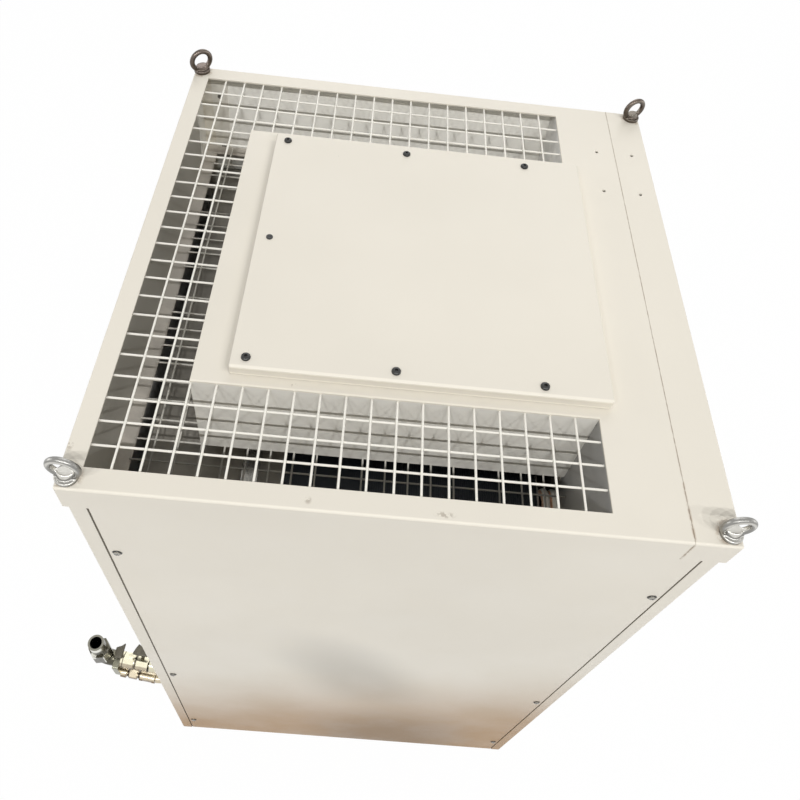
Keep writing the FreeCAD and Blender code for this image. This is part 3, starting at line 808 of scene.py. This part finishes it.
def shift(x, y, z):
    return Matrix.Translation((x, y, z))


def turned(angle, axis):
    return Matrix.Rotation(math.radians(angle), 4, axis)


FINISHES = {}


# Layout of the top, read from the frame

def opening():
    """Left, right, half width of the air opening and half width of the island."""
    low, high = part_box("grille_near")
    lap = sizes().lap
    gap = 0.0003
    return low.x + lap, high.x + gap, -low.y - lap, -high.y - gap


def wire_places():
    """Places of the depthwise wires along X and of the crosswise ones along Y."""
    left, right, half, _ = opening()
    pitch = sizes().pitch
    edge = 0.0028
    count_x = int((right - left - edge) // pitch)
    count_y = int((2 * half - edge) // pitch)
    first = left + (right - left - (count_x - 1) * pitch) / 2
    xs = [first + i * pitch for i in range(count_x)]
    ys = [(j - (count_y - 1) / 2) * pitch for j in range(count_y)]
    return xs, ys


class Piece(bpy.types.Operator):
    """One piece or group of like pieces"""
    bl_options = {"REGISTER", "UNDO"}

    def execute(self, context):
        self.make()
        return {"FINISHED"}


class COOLER_OT_camera(Piece):
    """Put the camera where the photograph was taken from"""
    bl_idname = "cooler.camera"
    bl_label = "Camera"
    place = (-0.0656, -0.5908, 1.6606)
    ahead = (0.04271, 0.62781, -0.77720)
    right = (0.99430, 0.04938, 0.09452)
    lens = 34.896  # mm, with a sensor 36 mm wide
    centre = (0.0205, -0.1169)  # shift of the picture's centre, in widths

    def make(self):
        data = bpy.data.cameras.new("view")
        camera = bpy.data.objects.new("view", data)
        bpy.context.scene.collection.objects.link(camera)
        ahead, right = Vector(self.ahead).normalized(), Vector(self.right).normalized()
        up = right.cross(ahead).normalized()
        turn = Matrix((right, up, -ahead)).transposed().to_4x4()
        camera.matrix_world = shift(*self.place) @ turn
        data.sensor_width = 36.0
        data.lens = self.lens
        data.shift_x, data.shift_y = self.centre
        data.clip_start = 0.01
        bpy.context.scene.camera = camera


class COOLER_OT_stage(Piece):
    """Lay the pale floor and set the soft studio light"""
    bl_idname = "cooler.stage"
    bl_label = "Stage"
    key_places = (-2.7, -1.2, 0.4, 1.7, 3.5)  # unevenly spaced, so that shadows don't line up
    key_size, key_power = (0.05, 0.030), 41.0
    top_size, top_power = (2.2, 1.4), 14.0
    sides = {"back": (0.4, 4.2, 1.5), "left": (-4.2, 0.5, 1.5), "right": (4.2, 0.5, 1.5)}
    side_size, side_power = (2.6, 2.0), 34.0
    sky_strength = 0.29
    floor_white = 0.98  # the rest of the floor's light is its own, with the shadow in it

    def make(self):
        only(None)
        bpy.ops.mesh.primitive_plane_add(size=14.0, location=(0.0, 0.0, -0.0005))
        floor = added("floor")
        floor.data.materials.append(self.floor_material())
        self.sky()
        for k, x in enumerate(self.key_places):
            self.lamp("key_%d" % k, (x, -3.1, 4.90), (x, 0.0, 1.0), self.key_size, self.key_power)
        self.lamp("top_soft", (0.1, 1.7, 2.8), (0.0, 0.3, 0.9), self.top_size, self.top_power)
        for name, place in self.sides.items():
            self.lamp(name + "_soft", place, (0.0, 0.0, 0.7), self.side_size, self.side_power)

    def floor_material(self):
        material = bpy.data.materials.new("floor_pale")
        material.use_nodes = True
        tree = material.node_tree
        pale = tree.nodes["Principled BSDF"]
        pale.inputs["Base Color"].default_value = (0.90, 0.90, 0.90, 1.0)
        pale.inputs["Roughness"].default_value = 0.8
        glow = tree.nodes.new("ShaderNodeEmission")
        glow.inputs["Color"].default_value = (1.0, 1.0, 1.0, 1.0)
        self.mixed(tree, self.floor_white, pale, glow, "Material Output")
        return material

    def mixed(self, tree, share, lit, white, output):
        """Shows the white node where it is seen directly, and the lit one elsewhere."""
        mix = tree.nodes.new("ShaderNodeMixShader")
        for socket, end in ((self.seen_directly(tree, share), mix.inputs[0]),
                            (lit.outputs[0], mix.inputs[1]), (white.outputs[0], mix.inputs[2]),
                            (mix.outputs[0], tree.nodes[output].inputs[0])):
            tree.links.new(socket, end)

    def seen_directly(self, tree, share):
        """How much of the white background shows: to the camera and in gloss."""
        path = tree.nodes.new("ShaderNodeLightPath")
        total = path.outputs["Is Camera Ray"]
        for name in ("Is Glossy Ray", "Is Transmission Ray"):
            add = tree.nodes.new("ShaderNodeMath")
            add.operation = "MAXIMUM"
            tree.links.new(total, add.inputs[0])
            tree.links.new(path.outputs[name], add.inputs[1])
            total = add.outputs[0]
        part = tree.nodes.new("ShaderNodeMath")
        part.operation = "MULTIPLY"
        tree.links.new(total, part.inputs[0])
        part.inputs[1].default_value = share
        return part.outputs[0]

    def sky(self):
        world = bpy.data.worlds.new("soft_sky")
        bpy.context.scene.world = world
        world.use_nodes = True
        tree = world.node_tree
        soft = tree.nodes["Background"]
        soft.inputs["Color"].default_value = (1.0, 0.985, 0.965, 1.0)
        soft.inputs["Strength"].default_value = self.sky_strength
        white = tree.nodes.new("ShaderNodeBackground")
        white.inputs["Color"].default_value = (1.0, 1.0, 1.0, 1.0)
        white.inputs["Strength"].default_value = 1.0
        self.mixed(tree, 1.0, soft, white, "World Output")

    def lamp(self, name, place, target, size, power):
        data = bpy.data.lights.new(name, "AREA")
        data.shape = "RECTANGLE"
        data.size, data.size_y = size
        data.energy = power
        lamp = bpy.data.objects.new(name, data)
        bpy.context.scene.collection.objects.link(lamp)
        lamp.location = place
        lamp.rotation_mode = "QUATERNION"
        lamp.rotation_quaternion = (Vector(target) - lamp.location).to_track_quat("-Z", "Y")
        bpy.context.scene.view_layers[0].update()


class COOLER_OT_finishes(Piece):
    """Give every part of the frame its finish"""
    bl_idname = "cooler.finishes"
    bl_label = "Finishes"

    def make(self):
        FINISHES.update(make_finishes())
        for finish, nodes in NODE_FINISH.items():
            for name in nodes:
                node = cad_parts[name]
                node.data.materials.clear()
                node.data.materials.append(FINISHES[finish].material)
        left = set(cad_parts) - {n for names in NODE_FINISH.values() for n in names}
        if left:
            raise RuntimeError("no finish for " + ", ".join(sorted(left)))


class MeshArm(Piece):
    """A welded mesh of round wires"""

    def arms(self, stem, node_stem, wire, finish, trim=0.0):
        """One arm on each side of the opening, its wires in step with the other arms'."""
        xs, ys = wire_places()
        rod = smooth(cylinder("wire_model", wire / 2, 1.0, (0.5, 0, 0), "x", 10), 60.0)
        only(None)
        bpy.ops.mesh.primitive_uv_sphere_add(segments=8, ring_count=5, radius=wire * 0.75,
                                             scale=(1.0, 1.0, 0.72))
        weld = smooth(added("weld_model"), 80.0)
        for side in SIDES:
            low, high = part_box(node_stem + side)
            here_x = [x for x in xs if low.x < x < high.x]
            here_y = [y for y in ys if low.y < y < high.y]
            parts = self.arm(low, high, here_x, here_y, wire, rod, weld, trim)
            kept(joined(parts, stem + side), finish, "mesh_white", node_stem + side)
        dropped(rod, weld)

    def arm(self, low, high, xs, ys, wire, rod, weld, trim):
        """Depthwise wires on top, crosswise wires welded under them."""
        upper = high.z - wire / 2
        lower = upper - wire + sizes().weld
        across = Matrix.Diagonal((high.x - low.x - trim, 1.0, 1.0, 1.0))
        along = turned(90, "Z") @ Matrix.Diagonal((high.y - low.y, 1.0, 1.0, 1.0))
        parts = [copied(rod, shift(low.x + trim, y, lower) @ across) for y in ys]
        parts += [copied(rod, shift(x, low.y, upper) @ along) for x in xs]
        return parts + [copied(weld, shift(x, y, (upper + lower) / 2)) for x in xs for y in ys]


class COOLER_OT_top_mesh(MeshArm):
    """Model the welded mesh of the air outlet"""
    bl_idname = "cooler.top_mesh"
    bl_label = "Top mesh"

    def make(self):
        self.arms("top_mesh_", "grille_", sizes().wire, "mesh")


class COOLER_OT_guard_mesh(MeshArm):
    """Model the second mesh below the first"""
    bl_idname = "cooler.guard_mesh"
    bl_label = "Guard mesh"

    def make(self):
        s = sizes()
        self.arms("lower_mesh_", "guard_", s.guard_wire, "guard", s.guard_lap - 0.001)


class COOLER_OT_lid_bolts(Piece):
    """Model the domed black bolts of the lid and its one flat screw"""
    bl_idname = "cooler.lid_bolts"
    bl_label = "Lid bolts"
    places = ((-0.1612, -0.1651), (-0.0149, -0.1653), (0.1323, -0.1665),
              (-0.1615, 0.1602), (-0.0147, 0.1586), (0.1327, 0.1588))
    screw_place = (-0.1611, -0.0038)

    def make(self):
        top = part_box("terminal_lid")[1].z
        bolt = self.bolt_model(sizes().lid_bolt / 2, top)
        spun = random.Random(5)
        parts = [copied(bolt, shift(x, y, 0) @ turned(spun.uniform(0, 60), "Z"))
                 for x, y in self.places]
        dropped(bolt)
        kept(joined(parts, "lid_bolts"), "black", "rubber_black")
        screw = self.screw_model(sizes().lid_screw / 2, top)
        screw.data.transform(shift(*self.screw_place, 0))
        kept(screw, "black", "rubber_black")

    def bolt_model(self, radius, top):
        """Flanged button head with six soft flats and the hexagonal socket in it."""
        flange = bevelled(cylinder("flange", radius, 0.0010, (0, 0, top + 0.0005), "z", 28),
                          0.0003)
        head = cylinder("head", radius * 0.96, 0.0012, (0, 0, top + 0.0014), "z", 12)
        editing(head, "FACE", facing(2, 1))
        for share, rise in ((0.16, 0.0007), (0.22, 0.0004)):
            bpy.ops.mesh.inset(thickness=radius * share, depth=0.0)
            bpy.ops.transform.translate(value=(0, 0, rise))
        done_editing()
        socket = cylinder("socket", radius * 0.42, 0.004, (0, 0, top + 0.0034), "z", 6)
        combined(head, socket, "DIFFERENCE")
        return joined([smooth(head, 25.0), flange], "bolt_model")

    def screw_model(self, radius, top):
        """Flat head with a ring groove."""
        screw = cylinder("lid_screw", radius, 0.0016, (0, 0, top + 0.0002), "z", 24)
        editing(screw, "FACE", facing(2, 1))
        for share, depth in ((0.5, 0.0), (0.12, -0.0006)):
            bpy.ops.mesh.inset(thickness=radius * share, depth=depth)
        done_editing()
        return bevelled(screw, 0.0002)


class COOLER_OT_panel_screws(Piece):
    """Model the pan-head screws of the four panels"""
    bl_idname = "cooler.panel_screws"
    bl_label = "Panel screws"
    heights = (0.876, 0.3945, 0.072)
    inset = 0.008

    def make(self):
        radius = sizes().panel_screw / 2
        screw = screw_head(radius)
        washer = bevelled(cylinder("washer", radius * 1.18, 0.0006, (0, -0.0003, 0), "y", 28),
                          0.0002, 1)
        for name, turn in (("near", 0), ("right", 90), ("far", 180), ("left", 270)):
            low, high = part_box("panel_" + name)
            across = (high.x - low.x if turn % 180 == 0 else high.y - low.y) / 2
            face = {0: -low.y, 90: high.x, 180: high.y, 270: -low.x}[turn]
            spun = random.Random(turn + 3)
            places = [turned(turn, "Z") @ shift(side * (across - self.inset), -face, z)
                      @ turned(spun.uniform(0, 90), "Y")
                      for side in (-1, 1) for z in self.heights]
            for model, stem, finish, slot in ((screw, "screws_", "screw", "zinc_bright"),
                                              (washer, "washers_", "black", "steel_dark")):
                parts = [copied(model, place) for place in places]
                kept(joined(parts, stem + name), finish, slot)
        dropped(screw, washer)


def screw_head(radius):
    """Pan head with a cross recess, looking along -Y."""
    head = cylinder("head", radius * 0.86, 0.0019, (0, -0.00095, 0), "y", 24)
    editing(head, "FACE", facing(1, -1))
    bpy.ops.mesh.inset(thickness=radius * 0.22, depth=0.0)
    bpy.ops.transform.translate(value=(0, -0.0005, 0))
    done_editing()
    long, wide = radius * 0.55, radius * 0.12
    slot = cube("cross", (-long, -0.006, -wide), (long, -0.0017, wide))
    for tool in (copied(slot, turned(0, "Y")), copied(slot, turned(90, "Y"))):
        combined(head, tool, "DIFFERENCE")
    dropped(slot)
    return smooth(head, 40.0)


class COOLER_OT_wall_screws(Piece):
    """Model the two screws that show on the far wall of the well"""
    bl_idname = "cooler.wall_screws"
    bl_label = "Wall screws"
    across = -0.2745
    heights = {0.981: 20, 0.892: 65}  # and how far each screw is turned, in degrees

    def make(self):
        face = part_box("panel_far")[1].y - SHEET
        model = screw_head(sizes().panel_screw / 2)
        parts = [copied(model, shift(self.across, face, z) @ turned(turn, "Y"))
                 for z, turn in self.heights.items()]
        dropped(model)
        kept(joined(parts, "screws_wall"), "screw", "zinc_bright")


class COOLER_OT_ledges(Piece):
    """Model the angle strips below the guard, the right one short of the pipes"""
    bl_idname = "cooler.ledges"
    bl_label = "Ledges"
    right_start = -0.1855
    gap = 0.0004

    def make(self):
        low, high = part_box("guard_ledges")
        wide = sizes().ledge
        inner = high.y - wide - self.gap
        strips = (((low.x, low.y), (high.x, low.y + wide), "near"),
                  ((low.x, high.y - wide), (high.x, high.y), "far"),
                  ((low.x, -inner), (low.x + wide, inner), "left"),
                  ((high.x - wide, self.right_start), (high.x, inner), "right"))
        parts = [self.angle(a, b, side, low.z, high.z) for a, b, side in strips]
        kept(joined(parts, "ledge_strips"), "ledge", "coat_white", "guard_ledges")

    def angle(self, a, b, side, low, top):
        """Flange on top, web down the side that lies against the wall."""
        flange = cube("flange", (*a, top - SHEET), (*b, top))
        web_a, web_b = list(a), list(b)
        axis = 0 if side in ("left", "right") else 1
        if side in ("near", "left"):
            web_b[axis] = a[axis] + SHEET
        else:
            web_a[axis] = b[axis] - SHEET
        web = cube("web", (*web_a, low), (*web_b, top))
        return bevelled(combined(flange, web, "UNION"), 0.0005)


class COOLER_OT_handles(Piece):
    """Model the two pointed wings that stand over the row of fittings"""
    bl_idname = "cooler.handles"
    bl_label = "Handles"
    outer = ((-0.0598, -0.0038), (-0.0482, -0.0026), (-0.0488, 0.0090), (-0.0499, 0.0222),
             (-0.0550, 0.0170), (-0.0630, 0.0128), (-0.0622, 0.0040))
    inner = ((-0.0325, 0.0078), (-0.0210, 0.0078), (-0.0060, 0.0078), (-0.0060, 0.0170),
             (-0.0140, 0.0200), (-0.0265, 0.0256), (-0.0300, 0.0170))

    # Each wing's outline, and its stem's place, both from the pipe's end
    wings = ((outer, (-0.0548, 0.0050), 0.0096), (inner, (-0.0150, 0.0100), 0.0074))
    bottom, top = 0.0148, 0.0216  # above the pipe's axis
    stem_top, stem_radius = 0.0152, 0.0032

    def make(self):
        end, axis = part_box("upper_nipple")[0].x, middle("upper_nipple")
        parts = []
        for outline, stem, foot in self.wings:
            wing = plate("wing", outline, axis.z + self.bottom, axis.z + self.top)
            parts.append(bevelled(wing, 0.0012, 3))
            rod = cylinder("stem", self.stem_radius, self.stem_top - foot,
                           (*stem, axis.z + (foot + self.stem_top) / 2), "z", 20)
            parts.append(bevelled(rod, 0.0004, 1))
        wings = joined(parts, "valve_wings")
        wings.data.transform(shift(end, axis.y, 0) @ turned(-ROW_LEAN, "Z"))
        kept(wings, "handle", "handle_dark", "valve_handles")


class COOLER_OT_fins(Piece):
    """Model the fins of the coil"""
    bl_idname = "cooler.fins"
    bl_label = "Coil fins"

    def make(self):
        s = sizes()
        low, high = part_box("coil_fins")
        core = cube("coil_core", low, (high.x, high.y, high.z - s.fin_depth))
        bevelled(core, 0.0005, 1)
        sunk = 0.0002
        fin = cube("fin_model", (0, low.y, high.z - s.fin_depth - sunk),
                   (s.fin_sheet, high.y, high.z))
        count = int((high.x - low.x - s.fin_sheet) / s.fin_pitch) + 1
        first = (low.x + high.x - (count - 1) * s.fin_pitch - s.fin_sheet) / 2
        parts = [core] + [copied(fin, shift(first + k * s.fin_pitch, 0, 0))
                          for k in range(count)]
        dropped(fin)
        kept(joined(parts, "fin_pack"), "fins", "fin_dark", "coil_fins")


class COOLER_OT_eyes(Piece):
    """Model the four lifting eyes as single forgings"""
    bl_idname = "cooler.eyes"
    bl_label = "Lifting eyes"

    def make(self):
        model = self.model()
        for name, turn in EYES.items():
            centre = middle("eye_" + name)
            place = shift(centre.x, centre.y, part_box("eye_" + name)[0].z)
            eye = copied(model, place @ turned(turn, "Z"), "lifting_eye_" + name)
            smooth(eye, 180.0)
            near = name.startswith("near")
            kept(eye, "eye_" + name, "zinc_bright" if near else "steel_dark", "eye_" + name)
        dropped(model)

    def model(self):
        """Ring, saddle and collar run together by a fine remesh."""
        low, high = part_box("eye_near_left")
        outer = high.z - low.z
        rod = outer * 0.203
        only(None)
        bpy.ops.mesh.primitive_torus_add(major_segments=64, minor_segments=20,
                                         major_radius=(outer - rod) / 2, minor_radius=rod / 2,
                                         location=(0, 0, outer / 2),
                                         rotation=(math.pi / 2, 0, 0))
        ring = added("ring")
        collar = cylinder("collar", 0.01072, 0.0045, (0, 0, 0.00225), "z", 48)
        bevelled(collar, 0.0008, 3)
        neck = cylinder("neck", 0.0080, 0.0090, (0, 0, 0.0055), "z", 48)
        editing(neck, "FACE", facing(2, 1))
        bpy.ops.transform.resize(value=(0.92, 0.62, 1.0))
        done_editing()
        whole = joined([ring, collar, neck], "eye_model")
        modified(whole, "REMESH", mode="VOXEL", voxel_size=0.0006)
        modified(whole, "SMOOTH", factor=0.5, iterations=4)
        editing(whole, "VERT", lambda v: v.co.z < 0.0002)
        bpy.ops.transform.resize(value=(1, 1, 0), center_override=(0, 0, 0))
        done_editing()
        return whole


class COOLER_PT_panel(bpy.types.Panel):
    """Lists the pieces of the cooler"""
    bl_idname = "COOLER_PT_panel"
    bl_label = "Dry cooler"
    bl_space_type = "VIEW_3D"
    bl_region_type = "UI"
    bl_category = "Cooler"

    def draw(self, context):
        layout = self.layout
        for operator in STEPS:
            layout.operator(operator.bl_idname)
        for group in (context.scene.cooler_sizes, context.scene.cooler_colours):
            box = layout.box()
            for name in group.__annotations__:
                box.prop(group, name)


STEPS = (COOLER_OT_camera, COOLER_OT_stage, COOLER_OT_finishes, COOLER_OT_top_mesh,
         COOLER_OT_guard_mesh, COOLER_OT_ledges, COOLER_OT_lid_bolts, COOLER_OT_panel_screws,
         COOLER_OT_wall_screws, COOLER_OT_fins, COOLER_OT_handles, COOLER_OT_eyes)
CLASSES = (CoolerSizes, CoolerColours) + STEPS + (COOLER_PT_panel,)


def register():
    for cls in CLASSES:
        bpy.utils.register_class(cls)
    bpy.types.Scene.cooler_sizes = PointerProperty(type=CoolerSizes)
    bpy.types.Scene.cooler_colours = PointerProperty(type=CoolerColours)


def unregister():
    del bpy.types.Scene.cooler_colours
    del bpy.types.Scene.cooler_sizes
    for cls in reversed(CLASSES):
        bpy.utils.unregister_class(cls)


def main():
    register()
    bpy.context.scene.view_settings.view_transform = "Standard"
    for operator in STEPS:
        group, name = operator.bl_idname.split(".")
        getattr(getattr(bpy.ops, group), name)()


if __name__ == "__main__":
    main()
